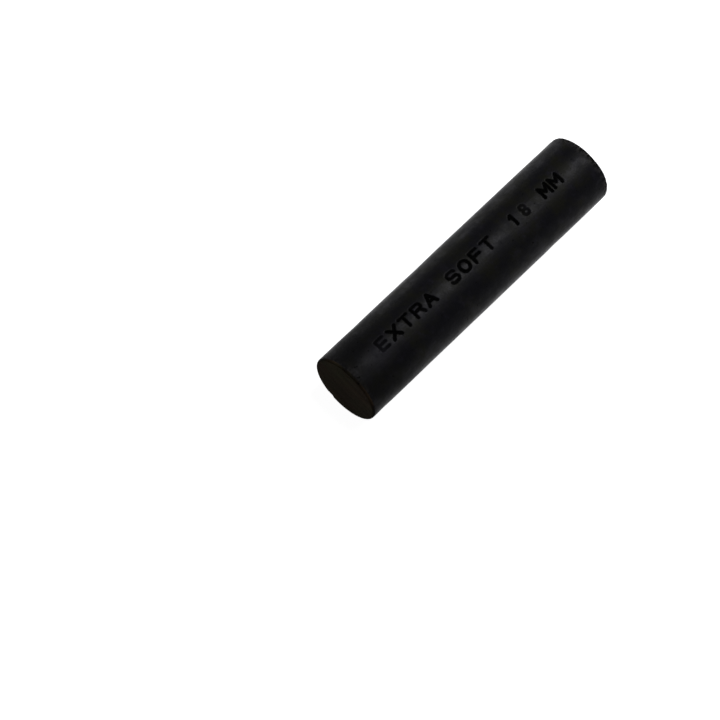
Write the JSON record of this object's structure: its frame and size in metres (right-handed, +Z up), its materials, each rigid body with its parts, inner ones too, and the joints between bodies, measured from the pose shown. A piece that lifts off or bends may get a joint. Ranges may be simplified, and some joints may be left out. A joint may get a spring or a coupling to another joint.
{
  "type": "charcoal stick",
  "caption": "Chunky round compressed charcoal drawing stick, bare, with flat ends and a hardness grade and diameter stamped along the barrel.",
  "frame": {"origin": "on the surface the stick lies on, in the middle of the flat under it, halfway along its length", "axes": "+X along the stick, from the drawing end to the butt end; +Z up; the stamp is near the top of the barrel and its letter tops point to +Y"},
  "size_m": [0.081, 0.018, 0.0179],
  "materials": {
    "compressed_charcoal": "matt black pressed charcoal, with a faint dull sheen on the barrel and duller cut ends"
  },
  "bodies": {
    "root": {"charcoal_stick": "compressed_charcoal"}
  },
  "joints": []
}
